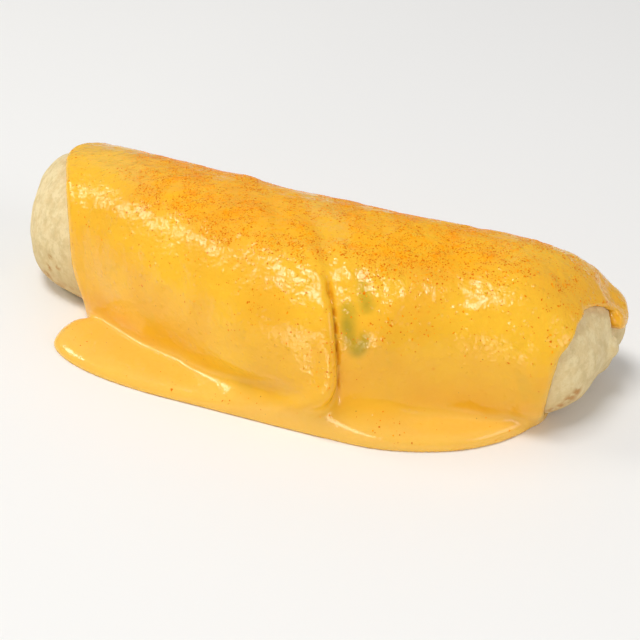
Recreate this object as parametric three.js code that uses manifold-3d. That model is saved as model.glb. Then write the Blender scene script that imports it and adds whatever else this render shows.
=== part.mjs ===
// A burrito in cheese sauce, cut across and pushed back together: two wrapped tortilla halves
// with their ends folded in, one filling that runs through both, strips of green chile that
// show in the cut, and the poured sauce with the pool that it leaves round the foot.
// Millimetres, +Z up, +X along the roll. The origin is the middle of the footprint.
import * as THREE from 'three';
import { mergeVertices } from 'three/addons/utils/BufferGeometryUtils.js';
import Module from 'manifold-3d';

const wasm = await Module();
wasm.setup();

// ---- Driving dimensions ----------------------------------------------------------------

// The roll, measured on the bare tortilla at six evenly spaced stations from left to right.
const LEFT_TIP = -115;
const RIGHT_TIP = 111;
const FIRST_STATION = -98;
const STATION_PITCH = 40;
const HALF_WIDTHS = [28.4, 34.8, 39.4, 34.2, 29.1, 27.5];
const HEIGHTS = [46.7, 50.8, 53.8, 53.3, 50.6, 49.5];
const CENTRE_LINE = [16, 3.5, -6.2, -3.8, 2.8, 7];
const SQUARENESS = 2.3; // superellipse exponent of the section
const FOOT_SHARE = 0.86; // part of the half height that lies between centre and plate

// The ends: where each starts to round off, and how squarely.
const LEFT_END = { shoulder: -95.5, square: 3.2, topShoulder: -97.5, topSquare: 2.3, tipHeight: 17 };
const RIGHT_END = { shoulder: 90, square: 2.6, topShoulder: 77, topSquare: 1.85, tipHeight: 14 };

// The cut, seen from above: where each half ends on the roll's axis, and how far it slants.
const CUT_LEFT = 3.5;
const CUT_RIGHT = 22;
const CUT_LEFT_SLANT = 0.67;
const CUT_RIGHT_SLANT = 0.62;

const WRAP = 4; // two turns of tortilla
const GAP = 0.3; // between pieces that touch
const FILLING_BULGE = 1.2;

// How far the rings run towards the left tip for each millimetre behind the axis: s, slant in
// front of the axis, slant behind it.
const SLANTS = [
  [LEFT_TIP, 0.3, 0],
  [-98, 0.7, -0.1],
  [CUT_LEFT, CUT_LEFT_SLANT, CUT_LEFT_SLANT],
  [CUT_RIGHT, CUT_RIGHT_SLANT, CUT_RIGHT_SLANT],
  [77, 0, 0],
  [RIGHT_TIP, -0.15, -0.15],
];
const SLANT_BLEND = 15; // distance either side of the axis over which front turns into back

// The folded ends. The outer turn stops at a free edge, given in Y and Z as the outline of what
// lies behind that edge, and at the right an ear stands out behind it.
const FOLD_THICKNESS = 2.2;
const RIGHT_FOLD = {
  from: 90,
  length: 40,
  outline: [
    [12, 70], [17, 32], [14, 27], [13, 24.5], [16, 22], [19, 18], [18, 12], [12, 4], [8, -9],
    [70, -9], [70, 70],
  ],
};
const LEFT_FOLD = {
  from: -99,
  length: -40,
  outline: [[24, 70], [27, 40], [22, 30], [14, 22], [12, 12], [16, -9], [70, -9], [70, 70]],
};
const EAR = { at: [103, 27, 18], size: [9, 9, 12] };

// The sauce: a coat with a round left edge, which leaves the front of the right end bare.
const COAT = 3.2;
const COAT_LEFT = -101.5;
const COAT_EDGE = 5; // width of the rounding
const COAT_FINE = -68; // rings stand closer together left of this
const BARE_END = {
  from: 95,
  rake: 0.12,
  length: 60,
  outline: [
    [-60, -9], [-60, 34], [-17, 34], [-8, 38.3], [0, 39.5], [7, 37.5], [13, 34.5], [16, 31.5],
    [15, 27], [17.5, 24.5], [22, 23.5], [28, 25], [36, 24], [60, 18], [60, -9],
  ],
};

// The dip behind the lip over the cut: shares of the way over the cut, and degrees from the top.
const DIP = { depth: 3.6, from: 0.1, foot: 0.2, to: 1.15, rings: [0.1, 0.2, 0.45, 0.7] };
const DIP_AROUND = { from: -20, full: 50, fades: 105, to: 125 };

// The pool round the foot, and the tongue of sauce that runs over the ear.
const POOL = {
  depth: 4.6,
  edge: 5,
  points: 72,
  outline: [
    [-66, -10], [-79, -21], [-79, -36], [-58, -47.5], [-18, -50.5], [32, -49.5], [50, -48],
    [74, -38], [88, -24], [94, -9], [90, 8], [86, 32], [62, 38], [22, 40], [-18, 43], [-68, 51],
    [-86, 47], [-88, 20], [-78, 0],
  ],
};
const TONGUE = { tilt: 0.5, under: [104, 27, -16] };

const CHILES = [
  { path: [[13, 59], [12.5, 69], [14.5, 76], [17.5, 82], [20, 76]], width: 5, thickness: 2.4 },
  { path: [[19, 40], [19.5, 48], [20, 57]], width: 4, thickness: 2.2 },
];

const RING_SIDES = 36;
const CORE_SIDES = 24;

// ---- Shapes ----------------------------------------------------------------------------

const { lerp, clamp, smoothstep } = THREE.MathUtils;

/** Smooth curve through evenly spaced stations along the roll, straight past both ends. */
function alongRoll(values) {
  const last = values.length - 1;
  const points = values.map((v, i) => new THREE.Vector3(i, v, 0));
  const curve = new THREE.CatmullRomCurve3(points, false, 'catmullrom', 0.5);
  return (x) => curve.getPoint(clamp((x - FIRST_STATION) / STATION_PITCH / last, 0, 1)).y;
}

const halfWidth = alongRoll(HALF_WIDTHS);
const height = alongRoll(HEIGHTS);
const centreY = alongRoll(CENTRE_LINE);

/** Share of the full section that is left between a shoulder and the tip: 1 down to 0. */
function roundOff(s, shoulder, tip, square) {
  const u = clamp((s - shoulder) / (tip - shoulder), 0, 1);
  return (1 - u ** square) ** (1 / square);
}

/** Section of the bare roll at s: centre, half width and half height. */
function section(s) {
  const end = s < 0 ? LEFT_END : RIGHT_END;
  const tip = s < 0 ? LEFT_TIP : RIGHT_TIP;
  const half = height(s) / (1 + FOOT_SHARE);
  const across = roundOff(s, end.shoulder, tip, end.square);
  const up = roundOff(s, end.topShoulder, tip, end.topSquare);
  const fall = 1 - up;
  return {
    y: centreY(s),
    z: lerp(FOOT_SHARE * half, end.tipHeight, fall),
    width: halfWidth(s) * across,
    height: half * up,
  };
}

/** Distance from the axis to the bare roll, at an angle from straight up towards the front. */
function rollRadius(s, angle) {
  const { width, height: up } = section(s);
  if (width < 1e-6 || up < 1e-6) return 0;
  const across = Math.abs(Math.sin(angle)) / width;
  const along = Math.abs(Math.cos(angle)) / up;
  return (across ** SQUARENESS + along ** SQUARENESS) ** (-1 / SQUARENESS);
}

/** Slant of the ring at s, blended over the axis from its front half to its back half. */
function slant(s, across) {
  const i = clamp(SLANTS.findIndex(([at]) => s < at), 1, SLANTS.length - 1);
  const [a, frontA, backA] = SLANTS[i - 1];
  const [b, frontB, backB] = SLANTS[i];
  const t = clamp((s - a) / (b - a), 0, 1);
  return lerp(lerp(frontA, frontB, t), lerp(backA, backB, t), smoothstep(across, -SLANT_BLEND, SLANT_BLEND));
}

/** Point on the ring at s, moved off the bare roll by a distance along its normal. */
function skinPoint(s, angle, off) {
  const step = 0.2;
  const slope = (rollRadius(s + step, angle) - rollRadius(s - step, angle)) / (2 * step);
  const steepness = Math.hypot(1, slope);
  const radius = Math.max(rollRadius(s, angle) + off / steepness, 0.05);
  const { y, z } = section(s);
  const across = -radius * Math.sin(angle);
  const x = s - slant(s, across) * across - (off * slope) / steepness;
  return new THREE.Vector3(x, y + across, z + radius * Math.cos(angle));
}

/** Closed skin over a row of rings with the same number of points, capped by two fans. */
function loft(rings) {
  const count = rings[0].length;
  const middle = (ring) => ring.reduce((sum, p) => sum.add(p), new THREE.Vector3()).divideScalar(count);
  const points = [...rings.flat(), middle(rings[0]), middle(rings.at(-1))];
  const faces = [];
  const startPole = points.length - 2;
  const endPole = points.length - 1;
  const lastRing = (rings.length - 1) * count;
  for (let i = 0; i < count; i += 1) {
    const j = (i + 1) % count;
    faces.push(startPole, j, i);
    faces.push(endPole, lastRing + i, lastRing + j);
    for (let r = 0; r < rings.length - 1; r += 1) {
      const near = r * count;
      const far = near + count;
      faces.push(near + i, far + j, far + i);
      faces.push(near + i, near + j, far + j);
    }
  }
  const geometry = new THREE.BufferGeometry().setFromPoints(points);
  geometry.setIndex(faces);
  return geometry;
}

/** Stations from one s to another, about `pitch` apart. */
function stations(from, to, pitch) {
  const steps = Math.max(1, Math.round((to - from) / pitch));
  return Array.from({ length: steps + 1 }, (_, i) => lerp(from, to, i / steps));
}

/** Stations over a rounded end: closer together towards the tip. */
function endStations(shoulder, tip, steps) {
  return Array.from({ length: steps }, (_, i) => {
    const turn = ((i + 0.6) / steps) * (Math.PI / 2);
    return lerp(tip, shoulder, 1 - Math.cos(turn));
  });
}

/** Lofted roll over the stations; off(s, angle) is how far it stands off the bare roll. */
function rollOver(list, off, sides = RING_SIDES) {
  const angles = Array.from({ length: sides }, (_, i) => (i / sides) * 2 * Math.PI);
  return loft(list.map((s) => angles.map((angle) => skinPoint(s, angle, off(s, angle)))));
}

// ---- Solids ----------------------------------------------------------------------------

/** A closed geometry as a manifold solid. */
function solid(geometry) {
  const bare = geometry.clone();
  bare.deleteAttribute('normal');
  bare.deleteAttribute('uv');
  const merged = mergeVertices(bare, 1e-5);
  return new wasm.Manifold(new wasm.Mesh({
    numProp: 3,
    vertProperties: new Float32Array(merged.attributes.position.array),
    triVerts: new Uint32Array(merged.index.array),
  }));
}

/** Everything below the plate's surface. */
const underfoot = solid(new THREE.BoxGeometry(400, 300, 100).translate(0, 0, -50));

const onPlate = (body) => body.subtract(underfoot);

const leftTipStations = endStations(LEFT_END.shoulder, LEFT_TIP, 6);
const rightTipStations = endStations(RIGHT_END.shoulder, RIGHT_TIP, 7).reverse();
const leftStations = (until) => [...leftTipStations, ...stations(LEFT_END.shoulder, until, 10)];
const rightStations = (from) => [...stations(from, RIGHT_END.shoulder, 10), ...rightTipStations];

const evenly = (off) => () => off;

/** Half of the wrap, filled, and grown by a distance all over. */
const leftHalf = (by) => solid(rollOver(leftStations(CUT_LEFT + by), evenly(by)));
const rightHalf = (by) => solid(rollOver(rightStations(CUT_RIGHT - by), evenly(by)));

/** The filling, which bulges a little where the wrap is cut. */
function filling(by) {
  const list = [
    ...leftTipStations.slice(2),
    ...stations(LEFT_END.shoulder, CUT_LEFT, 15),
    ...stations(CUT_LEFT, CUT_RIGHT, 5).slice(1, -1),
    ...stations(CUT_RIGHT, RIGHT_END.shoulder, 15),
    ...rightTipStations.slice(0, -2),
  ];
  const body = solid(rollOver(list, (s) => {
    const g = (s - CUT_LEFT) / (CUT_RIGHT - CUT_LEFT);
    const bulge = g > 0 && g < 1 ? FILLING_BULGE * Math.sin(Math.PI * g) : 0;
    return by - WRAP - GAP + bulge;
  }, CORE_SIDES));
  return body.subtract(underfoot.translate(0, 0, WRAP + GAP - by));
}

/** Strip of green chile that lies in the cut, along the skin of the roll. */
function chile({ path, width, thickness }, by) {
  const route = path.map(([s, degrees]) => skinPoint(s, THREE.MathUtils.degToRad(degrees), -WRAP / 2));
  const curve = new THREE.CatmullRomCurve3(route);
  const section = new THREE.Shape();
  section.absellipse(0, 0, thickness / 2 + by, width / 2 + by, 0, 2 * Math.PI);
  const strip = new THREE.ExtrudeGeometry(section, { extrudePath: curve, steps: 8, curveSegments: 5 });
  return solid(strip);
}

/** Ear of the folded end that stands out behind the flap. */
function ear(by) {
  const { at, size } = EAR;
  const ball = new THREE.SphereGeometry(1, 24, 16).rotateX(Math.PI / 2);
  return solid(ball.scale(...size.map((r) => r + by)).translate(...at));
}

/** Prism along X over an outline of [y, z] points; rake leans its near face back with height. */
function endPrism({ from, rake = 0, outline }, length) {
  const shape = new THREE.Shape(outline.map(([y, z]) => new THREE.Vector2(y, z)));
  const prism = new THREE.ExtrudeGeometry(shape, { depth: Math.abs(length), bevelEnabled: false });
  const toX = new THREE.Matrix4().makeBasis(
    new THREE.Vector3(0, 1, 0),
    new THREE.Vector3(rake, 0, 1),
    new THREE.Vector3(1, 0, 0),
  );
  prism.applyMatrix4(toX).translate(Math.min(from, from + length), 0, 0);
  return solid(prism);
}

/** A half of the wrap whose outer turn ends in a free edge over the folded end. */
function folded(half, fold, by) {
  const behindEdge = endPrism(fold, fold.length).subtract(half(by - FOLD_THICKNESS));
  return half(by).subtract(behindEdge);
}

/** Points evenly spaced on a smooth closed curve through the corners given. */
function closedCurve(corners, count) {
  const points = corners.map(([x, y]) => new THREE.Vector3(x, y, 0));
  const curve = new THREE.CatmullRomCurve3(points, true, 'centripetal');
  return curve.getSpacedPoints(count).slice(0, -1).map(({ x, y }) => new THREE.Vector2(x, y));
}

/** Depth of the dip that the cut leaves in the sauce, deepest low down at the front. */
function dip(s, angle) {
  const g = (s - CUT_LEFT) / (CUT_RIGHT - CUT_LEFT);
  const across = smoothstep(g, DIP.from, DIP.foot) * (1 - smoothstep(g, DIP.foot, DIP.to));
  const degrees = THREE.MathUtils.radToDeg(angle > Math.PI ? angle - 2 * Math.PI : angle);
  const { from, full, fades, to } = DIP_AROUND;
  return DIP.depth * across * smoothstep(degrees, from, full) * (1 - smoothstep(degrees, fades, to));
}

/** Thickness of the coat: its edge is round, and it sinks under the skin where the roll is bare. */
function coatThickness(s, angle) {
  const inside = s - COAT_LEFT;
  if (inside < 0) return Math.max(GAP + inside, -COAT);
  const t = clamp(inside / COAT_EDGE, 0, 1);
  const round = Math.sqrt(1 - (1 - t) ** 2);
  return GAP + (COAT - GAP) * round - dip(s, angle);
}

function coat() {
  const list = [
    ...leftTipStations,
    ...stations(LEFT_END.shoulder, COAT_FINE, 4.5).slice(0, -1),
    ...stations(COAT_FINE, CUT_LEFT, 10),
    ...DIP.rings.map((g) => lerp(CUT_LEFT, CUT_RIGHT, g)),
    ...rightStations(CUT_RIGHT),
  ];
  return solid(rollOver(list, coatThickness)).subtract(endPrism(BARE_END, BARE_END.length));
}

/** The pool: a flat puddle with a round edge. */
function pool() {
  const outline = new THREE.Shape(closedCurve(POOL.outline, POOL.points));
  const puddle = new THREE.ExtrudeGeometry(outline, {
    depth: POOL.depth,
    bevelEnabled: true,
    bevelThickness: POOL.depth,
    bevelSize: POOL.edge,
    bevelOffset: -POOL.edge,
    bevelSegments: 4,
  });
  return solid(puddle.translate(0, 0, -POOL.depth));
}

/** Sauce that runs over the ear in a tongue. */
function tongue() {
  const below = new THREE.BoxGeometry(60, 60, 60).rotateX(TONGUE.tilt).translate(...TONGUE.under);
  return ear(COAT).subtract(solid(below));
}

// ---- Model -----------------------------------------------------------------------------

const looks = {
  tortilla: { color: 0xe6d6ae, roughness: 0.85, metalness: 0 },
  filling: { color: 0xd9b56a, roughness: 0.7, metalness: 0 },
  chile: { color: 0x7d9a3c, roughness: 0.5, metalness: 0 },
  sauce: { color: 0xf2b43c, roughness: 0.3, metalness: 0 },
};

const burrito = new THREE.Group();

function add(name, body, look) {
  const { vertProperties, triVerts } = body.getMesh();
  const geometry = new THREE.BufferGeometry();
  geometry.setAttribute('position', new THREE.BufferAttribute(vertProperties, 3));
  geometry.setIndex(new THREE.BufferAttribute(triVerts, 1));
  geometry.computeVertexNormals();
  const mesh = new THREE.Mesh(geometry, new THREE.MeshStandardMaterial(look));
  mesh.name = name;
  burrito.add(mesh);
}

const wrapHollow = filling(GAP);
const wraps = (by) => [folded(leftHalf, LEFT_FOLD, by), folded(rightHalf, RIGHT_FOLD, by).add(ear(by))];
const [leftWrap, rightWrap] = wraps(0);
add('tortilla_left', onPlate(leftWrap.subtract(wrapHollow)), looks.tortilla);
add('tortilla_right', onPlate(rightWrap.subtract(wrapHollow)), looks.tortilla);

const strips = (by) => CHILES.map((strip) => chile(strip, by)).reduce((all, one) => all.add(one));
add('filling', filling(0).subtract(strips(GAP)), looks.filling);
CHILES.forEach((strip, i) => add(`chile_strip_${i + 1}`, chile(strip, 0), looks.chile));

const [leftRoom, rightRoom] = wraps(GAP);
const room = leftRoom.add(rightRoom).add(wrapHollow).add(strips(GAP));
const sauce = coat().add(pool()).add(tongue());
add('cheese_sauce', onPlate(sauce.subtract(room)), looks.sauce);

export default burrito;
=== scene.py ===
"""Burrito in cheese sauce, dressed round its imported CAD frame.

A rolled flour tortilla, cut across and pushed back together, lies in the sauce poured over it.
Each body is worked out as a smooth field of distances on a grid and skinned with quads.
Run as a script in Blender 4.5. Metres, +Z up, +X along the roll, origin under its middle.
"""

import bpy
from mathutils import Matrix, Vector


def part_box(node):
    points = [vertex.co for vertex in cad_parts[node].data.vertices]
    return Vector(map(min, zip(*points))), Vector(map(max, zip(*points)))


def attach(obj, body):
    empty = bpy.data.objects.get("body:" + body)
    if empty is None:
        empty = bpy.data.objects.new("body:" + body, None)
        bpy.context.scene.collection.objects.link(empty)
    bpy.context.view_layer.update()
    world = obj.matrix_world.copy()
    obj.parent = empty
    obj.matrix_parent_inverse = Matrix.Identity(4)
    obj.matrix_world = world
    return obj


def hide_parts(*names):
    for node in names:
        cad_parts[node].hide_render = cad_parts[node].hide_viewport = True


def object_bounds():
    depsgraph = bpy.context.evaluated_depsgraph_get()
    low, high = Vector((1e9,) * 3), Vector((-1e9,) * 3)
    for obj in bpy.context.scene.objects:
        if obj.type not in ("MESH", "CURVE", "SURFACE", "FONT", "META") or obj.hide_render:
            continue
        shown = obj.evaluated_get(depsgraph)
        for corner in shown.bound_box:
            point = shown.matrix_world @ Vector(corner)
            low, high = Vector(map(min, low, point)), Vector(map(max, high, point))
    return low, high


bl_info = {
    "name": "Burrito in cheese sauce",
    "version": (1, 0, 0),
    "blender": (4, 5, 0),
    "location": "3D View > Sidebar > Burrito",
    "description": "Builds a burrito in poured cheese sauce, piece by piece",
    "category": "Add Mesh",
}

import functools
import math

import bpy
import numpy as np
from bpy.props import FloatProperty, FloatVectorProperty, IntProperty, PointerProperty
from mathutils import Matrix, Vector

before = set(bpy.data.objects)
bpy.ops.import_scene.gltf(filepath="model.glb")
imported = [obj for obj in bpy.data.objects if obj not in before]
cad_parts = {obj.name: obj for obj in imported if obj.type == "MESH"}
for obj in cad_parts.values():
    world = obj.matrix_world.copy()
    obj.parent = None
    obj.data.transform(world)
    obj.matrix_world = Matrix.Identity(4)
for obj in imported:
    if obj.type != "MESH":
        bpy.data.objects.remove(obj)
CAD_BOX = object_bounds()

GAP = 0.0001  # left between the sauce and what it covers
FINE, COARSE = 0.0008, 0.0011


# ---- Settings ----


def number(name, description, default, **kind):
    """Property for a number, or for a row of them."""
    kind.update(name=name, description=description, default=default)
    if isinstance(default, tuple):
        return FloatVectorProperty(size=len(default), **kind)
    return FloatProperty(**kind)


def colour(name, description, default):
    return number(name, description, default, subtype="COLOR", min=0, max=1)


def length(name, description, default):
    return number(name, description, default, unit="LENGTH")


class RollSettings(bpy.types.PropertyGroup):
    """The bare roll, measured at six evenly spaced stations from left to right."""

    left_tip: length("Left tip", "Where the roll starts", -0.115)
    right_tip: length("Right tip", "Where the roll ends", 0.111)
    first: length("First station", "Where the first row of sizes is taken", -0.098)
    pitch: length("Station pitch", "Distance between stations", 0.04)
    half_widths: length(
        "Half widths", "Half the roll's width", (0.0284, 0.0348, 0.0394, 0.0342, 0.0291, 0.0275)
    )
    heights: length("Heights", "Height", (0.0467, 0.0508, 0.0538, 0.0533, 0.0506, 0.0495))
    centre_line: length(
        "Centre line", "Place across", (0.016, 0.0035, -0.0062, -0.0038, 0.0028, 0.007)
    )
    squareness: number("Squareness", "Exponent of the section", 2.3)
    foot_share: number("Foot share", "Height of the centre line, in half heights", 0.86)
    wrap: length("Wrap", "Thickness of the turns of tortilla", 0.004)
    cut_left: length("Cut, left side", "Where the left half ends on the axis", 0.0035)
    cut_right: length("Cut, right side", "Where the right half starts on the axis", 0.022)
    fold: length("Fold", "Thickness of the outer turn at the folded ends", 0.0022)


class SauceSettings(bpy.types.PropertyGroup):
    """The poured cheese sauce."""

    coat: length("Coat", "Thickness on the roll", 0.0032)
    coat_left: length("Left edge", "Where the coat starts along the roll", -0.1015)
    dip: length("Dip", "How far the coat sinks behind the lip of the cut", 0.0036)
    collar: length("Collar", "How much thicker the coat is along the lip of the cut", 0.0018)
    pool: length("Pool", "Depth of the pool round the foot", 0.0046)
    pool_edge: length("Pool edge", "Width over which the pool's edge rounds off", 0.0065)
    wave: length("Waves", "Height of the slow waves in the coat", 0.00045)
    golden: colour("Golden", "Main colour", (0.92, 0.51, 0.024))
    amber: colour("Amber", "Colour of the darker blotches", (0.86, 0.43, 0.02))
    # Olive is laid on in blotches only low on the coat: uneven tone, and painted soft shade on the
    # lower wall.
    olive: colour("Olive", "Colour of the dull blotches", (0.76, 0.435, 0.027))
    # Pale is laid on low down: partly sauce lying thin over the floor, partly painted sheen on the
    # pool.
    pale: colour("Pale", "Colour where it lies thin on the floor", (0.92, 0.545, 0.1))
    gloss: number("Roughness", "Roughness of the wet surface", 0.12)


class PaprikaSettings(bpy.types.PropertyGroup):
    """The paprika that is dusted over the top."""

    flakes: IntProperty(name="Flakes", description="How many loose flakes", default=14000)
    size: length("Flake", "Size of a common flake", 0.0005)
    red: colour("Red", "Colour of the flakes", (0.72, 0.17, 0.001))
    stain: colour("Stain", "Colour that they leave in the sauce", (1.0, 0.36, 0.002))


class TortillaSettings(bpy.types.PropertyGroup):
    """The flour tortilla."""

    cream: colour("Cream", "Main colour", (0.74, 0.57, 0.29))
    floury: colour("Floury", "Colour of the pale blotches", (0.82, 0.67, 0.38))
    # Khaki is also laid on more towards the floor, as painted shade.
    khaki: colour("Khaki", "Colour of the dull blotches", (0.60, 0.45, 0.205))
    toasted: colour("Toasted", "Colour of the toasted spots", (0.48, 0.22, 0.05))
    blister: length("Blisters", "Height of the blisters", 0.00028)


class ChileSettings(bpy.types.PropertyGroup):
    """The strips of green chile in the cut."""

    green: colour("Green", "Colour of the flesh", (0.33, 0.27, 0.012))
    width: length("Width", "Width of a strip", 0.005)


class StageSettings(bpy.types.PropertyGroup):
    """Floor, lights and camera."""

    floor: colour("Floor", "Colour of the floor", (0.88, 0.875, 0.87))
    camera: length("Camera", "Where the camera stands", (0.17144, -0.4234, 0.29464))
    target: length("Target", "What it looks at", (0.0162, -0.01899, 0.025))
    roll: number("Roll", "How far it leans", math.radians(1.52), subtype="ANGLE")
    lens: number("Lens", "Focal length in millimetres on a 36 mm sensor", 84.375)


STEP, MARGIN = 0.0002, 0.006  # of the tables along the roll, and past its tips

# Slant of the sections: where along the roll, in front of its axis, and behind it.
SLANTS = (
    (-0.115, 0.3, 0.0),
    (-0.098, 0.7, -0.1),
    (0.0035, 0.67, 0.67),
    (0.022, 0.62, 0.62),
    (0.077, 0.0, 0.0),
    (0.111, -0.15, -0.15),
)
SLANT_BLEND = 0.015

# How the ends round off: shoulder and exponent across, the same upwards, and the tip's height.
LEFT_END = (-0.0955, 3.2, -0.0975, 2.3, 0.017)
RIGHT_END = (0.09, 2.6, 0.077, 1.85, 0.014)

# Outlines in Y and Z of what lies behind the free edge of each folded end.
RIGHT_FOLD = (
    (0.012, 0.07), (0.017, 0.032), (0.014, 0.027), (0.013, 0.0245), (0.016, 0.022),
    (0.019, 0.018), (0.018, 0.012), (0.012, 0.004), (0.008, -0.009), (0.07, -0.009), (0.07, 0.07),
)
LEFT_FOLD = (
    (0.024, 0.07), (0.027, 0.04), (0.022, 0.03), (0.014, 0.022), (0.012, 0.012),
    (0.016, -0.009), (0.07, -0.009), (0.07, 0.07),
)
FOLDS_FROM = (-0.099, 0.09)  # where the fold of each end begins, along the roll
GROOVE_DEPTH, GROOVE_WIDTH = 0.0006, 0.0015  # along a fold's free edge
END_WALL = 0.001  # how much thicker the wrap is at the folded ends
EAR_AT, EAR_SIZE = (0.103, 0.027, 0.018), (0.009, 0.009, 0.012)
FILLING_BULGE = 0.0012  # how far the filling swells out between the halves

# The lip of sauce over the cut: how far it hangs over, its corner low down, and the degrees from
# the roll's top between which it comes to stand clear.
LIP_OVERHANG = 0.0028
LIP_FOOT, LIP_RISE, LIP_CORNER = 0.0135, 0.5, 0.009
LIP_TURN = (40, 57)
COLLAR_FOOT = 1.6  # how much more the lip's thick edge stands out low down
STEEP = 1.2  # length of the roll to each length square to a slanted section

# Radii over which the sauce rounds off: at the lip, at the left end, round the bare right end, at
# the cut on top and in front, and where the coat meets the pool, with more of it below the cut.
LIP_EDGE, LEFT_EDGE, BARE_EDGE = 0.0042, 0.002, 0.0026
CUT_TOP, CUT_FRONT = 0.0024, 0.0005
CREASE, CREASE_MORE = 0.0022, 0.003

# How far the sauce sinks under the lip, beyond it, beside the lobe and on top, in parts of the dip.
GROOVE, SHELF, VALLEY, CREST = 1.7, 0.42, 0.18, 0.36
THIN_FOOT = 0.0017  # how much thinner the coat is low down, in the middle of its front
SLIDE_TOP, SLIDE_FOOT, SLIDE_BACK = 0.002, 0.003, 0.0045  # how far its left edge slides in
FLOW = ((0.031, -0.034, 0.024), (0.035, -0.037, 0.006), 0.006)  # from, to, and half its width
TONGUE_FOOT, TONGUE_SLOPE = 0.0248, 0.18  # height of the tongue's edge, and its rise to the back

# Where the wrap swells out, or in where the height is negative: place, radius and height.
SWELLINGS = (
    ((-0.083, -0.012, 0.003), 0.012, 0.0012),
    ((0.1105, 0.006, 0.006), 0.012, -0.0034),
    ((0.103, -0.011, 0.003), 0.008, -0.0015),
    ((0.112, 0.012, 0.0195), 0.004, 0.0028),
)

# The same for the sauce on it: the drip at the lip's low corner, and the dip before the ear.
SAUCE_SWELLINGS = (
    ((0.0247, -0.0485, 0.017), 0.009, 0.0032),
    ((0.1075, 0.0215, 0.038), 0.0065, -0.0038),
)

# How much of the roll's undercut the coat follows, by place along the roll.
DRAPE = ((-0.1, 0.5), (-0.05, 0.4), (-0.025, 1), (0.03, 1), (0.042, 0.2), (0.072, 0.2), (0.087, 1))

# Scorched spots on the tortilla: place and radius.
SCORCHED = (
    (0.1043, -0.0115, 0.0152, 0.0034), (0.1026, -0.0131, 0.0125, 0.0044),
    (0.1005, -0.0142, 0.0105, 0.0032), (0.0982, -0.0151, 0.0085, 0.003),
    (-0.091, -0.0117, 0.0168, 0.0022), (-0.0942, -0.0107, 0.0198, 0.0017),
    (-0.0961, -0.0098, 0.0142, 0.0024), (-0.0985, -0.0075, 0.009, 0.0035),
)
SCORCH_CORE = 0.2  # part of the radius that is scorched in full

# How high the pool banks up against the front of the roll, by place along it.
BANK = (
    (-0.055, 0.0), (-0.02, 0.0035), (0.005, 0.0092), (0.03, 0.0125), (0.045, 0.0125),
    (0.052, 0.0105), (0.058, 0.0068), (0.067, 0.0038), (0.078, 0.002), (0.09, 0.0),
)
BANK_REACH = 0.006

# What the sauce leaves bare at the right end: an outline in Y and Z, from a face that leans back.
BARE_FROM, BARE_RAKE = 0.095, 0.12
BARE_END = (
    (-0.06, -0.009), (-0.06, 0.034), (-0.017, 0.034), (-0.008, 0.0383), (0.0, 0.0395),
    (0.007, 0.0375), (0.013, 0.0345), (0.016, 0.0315), (0.015, 0.027), (0.0175, 0.0245),
    (0.022, 0.0235), (0.028, 0.025), (0.036, 0.024), (0.06, 0.018), (0.06, -0.009),
)

POOL_OUTLINE = (
    (-0.066, -0.01), (-0.079, -0.021), (-0.079, -0.036), (-0.058, -0.0475), (-0.018, -0.0505),
    (0.032, -0.0495), (0.05, -0.048), (0.074, -0.038), (0.088, -0.024), (0.094, -0.009),
    (0.09, 0.008), (0.086, 0.032), (0.062, 0.038), (0.022, 0.04), (-0.018, 0.043),
    (-0.068, 0.051), (-0.086, 0.047), (-0.088, 0.02), (-0.078, 0.0),
)

# The strips of chile: places along the roll and degrees from its top towards the front.
CHILES = {
    "chile_strip_1": ((0.0125, 60), (0.0118, 68), (0.0128, 75), (0.0152, 80), (0.0178, 74)),
    "chile_strip_2": ((0.019, 40), (0.0195, 48), (0.02, 57)),
}
CHILE_DEPTH, CHILE_THICK = 0.002, 0.0012  # under the roll's skin, and half a strip's thickness
CHILE_MARK = (0.0003, 0.0042)  # distances at which its green shows in full, and no more
CUT_MIDDLE = (0.014, -0.005, 0.024)  # inside the roll at the cut

# Paprika: places along the roll and degrees round it between which it sets in and fades.
DUST_SETS_IN, DUST_FADES = (-0.08, -0.05), (0.055, 0.09)
DUST_BACK, DUST_FRONT = (-75, -35), (16, 45)
CLUMPING, STRAY = 1.4, 0.002  # exponent of the cover, and the chance of a flake anywhere
LOW, LOW_SHARE = 0.02, 0.25  # height below which flakes are fewer, and how many are left
FLAKE_SPREAD, FLAKE_LARGEST = 0.45, 2  # of the sizes, and the most times the common size
FLAKE_THICK, FLAKE_SUNK = 0.0001, 0.00004  # half its thickness, and its rim under the surface

BLOT, DARK_SPECK = (0.84, 0.25, 0.002), (0.3, 0.1, 0.01)
FILLING_COLOURS = (0.62, 0.36, 0.12), (0.33, 0.15, 0.05)
WARM_DEPTHS = (1.0, 0.6, 0.3)  # how deep red, green and blue light goes under a surface

# Soft boxes: name, place, width, depth, watts, and a tint where it isn't white.
LIGHTS = (
    ("key", (-0.27, -0.4, 1.73), 0.8, 0.5, 16.2),
    ("left", (-1.42, -0.16, 1.04), 0.55, 0.35, 6.5, (1, 0.97, 0.86)),
    ("front", (-0.1, -1.6, 0.2), 0.7, 0.25, 5.2, (1, 0.95, 0.78)),
    ("right", (1.4, -0.25, 0.65), 0.9, 0.7, 5.4),
    ("back", (-0.76, 1.31, 0.95), 0.9, 0.7, 0.7),
)
SKY_LOW, SKY_HIGH = 0.26, 0.36  # light all round, at the horizon and higher up
FLOOR_REACH = 5.0


# ---- Small mathematics ----


def smoothstep(x, low, high):
    t = np.clip((x - low) / (high - low), 0, 1)
    return t * t * (3 - 2 * t)


def fade(x, low, high):
    return 1 - smoothstep(x, low, high)


def between(x, a, b, c, d):
    """One from b to c, easing to zero at a and at d."""
    return smoothstep(x, a, b) * fade(x, c, d)


def bell(x, middle, wide):
    return np.exp(-(((x - middle) / wide) ** 2))


def above_zero(t, soft=0.1):
    """A number that eases off to zero where it would go below."""
    return soft * np.logaddexp(0, t / soft)


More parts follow.
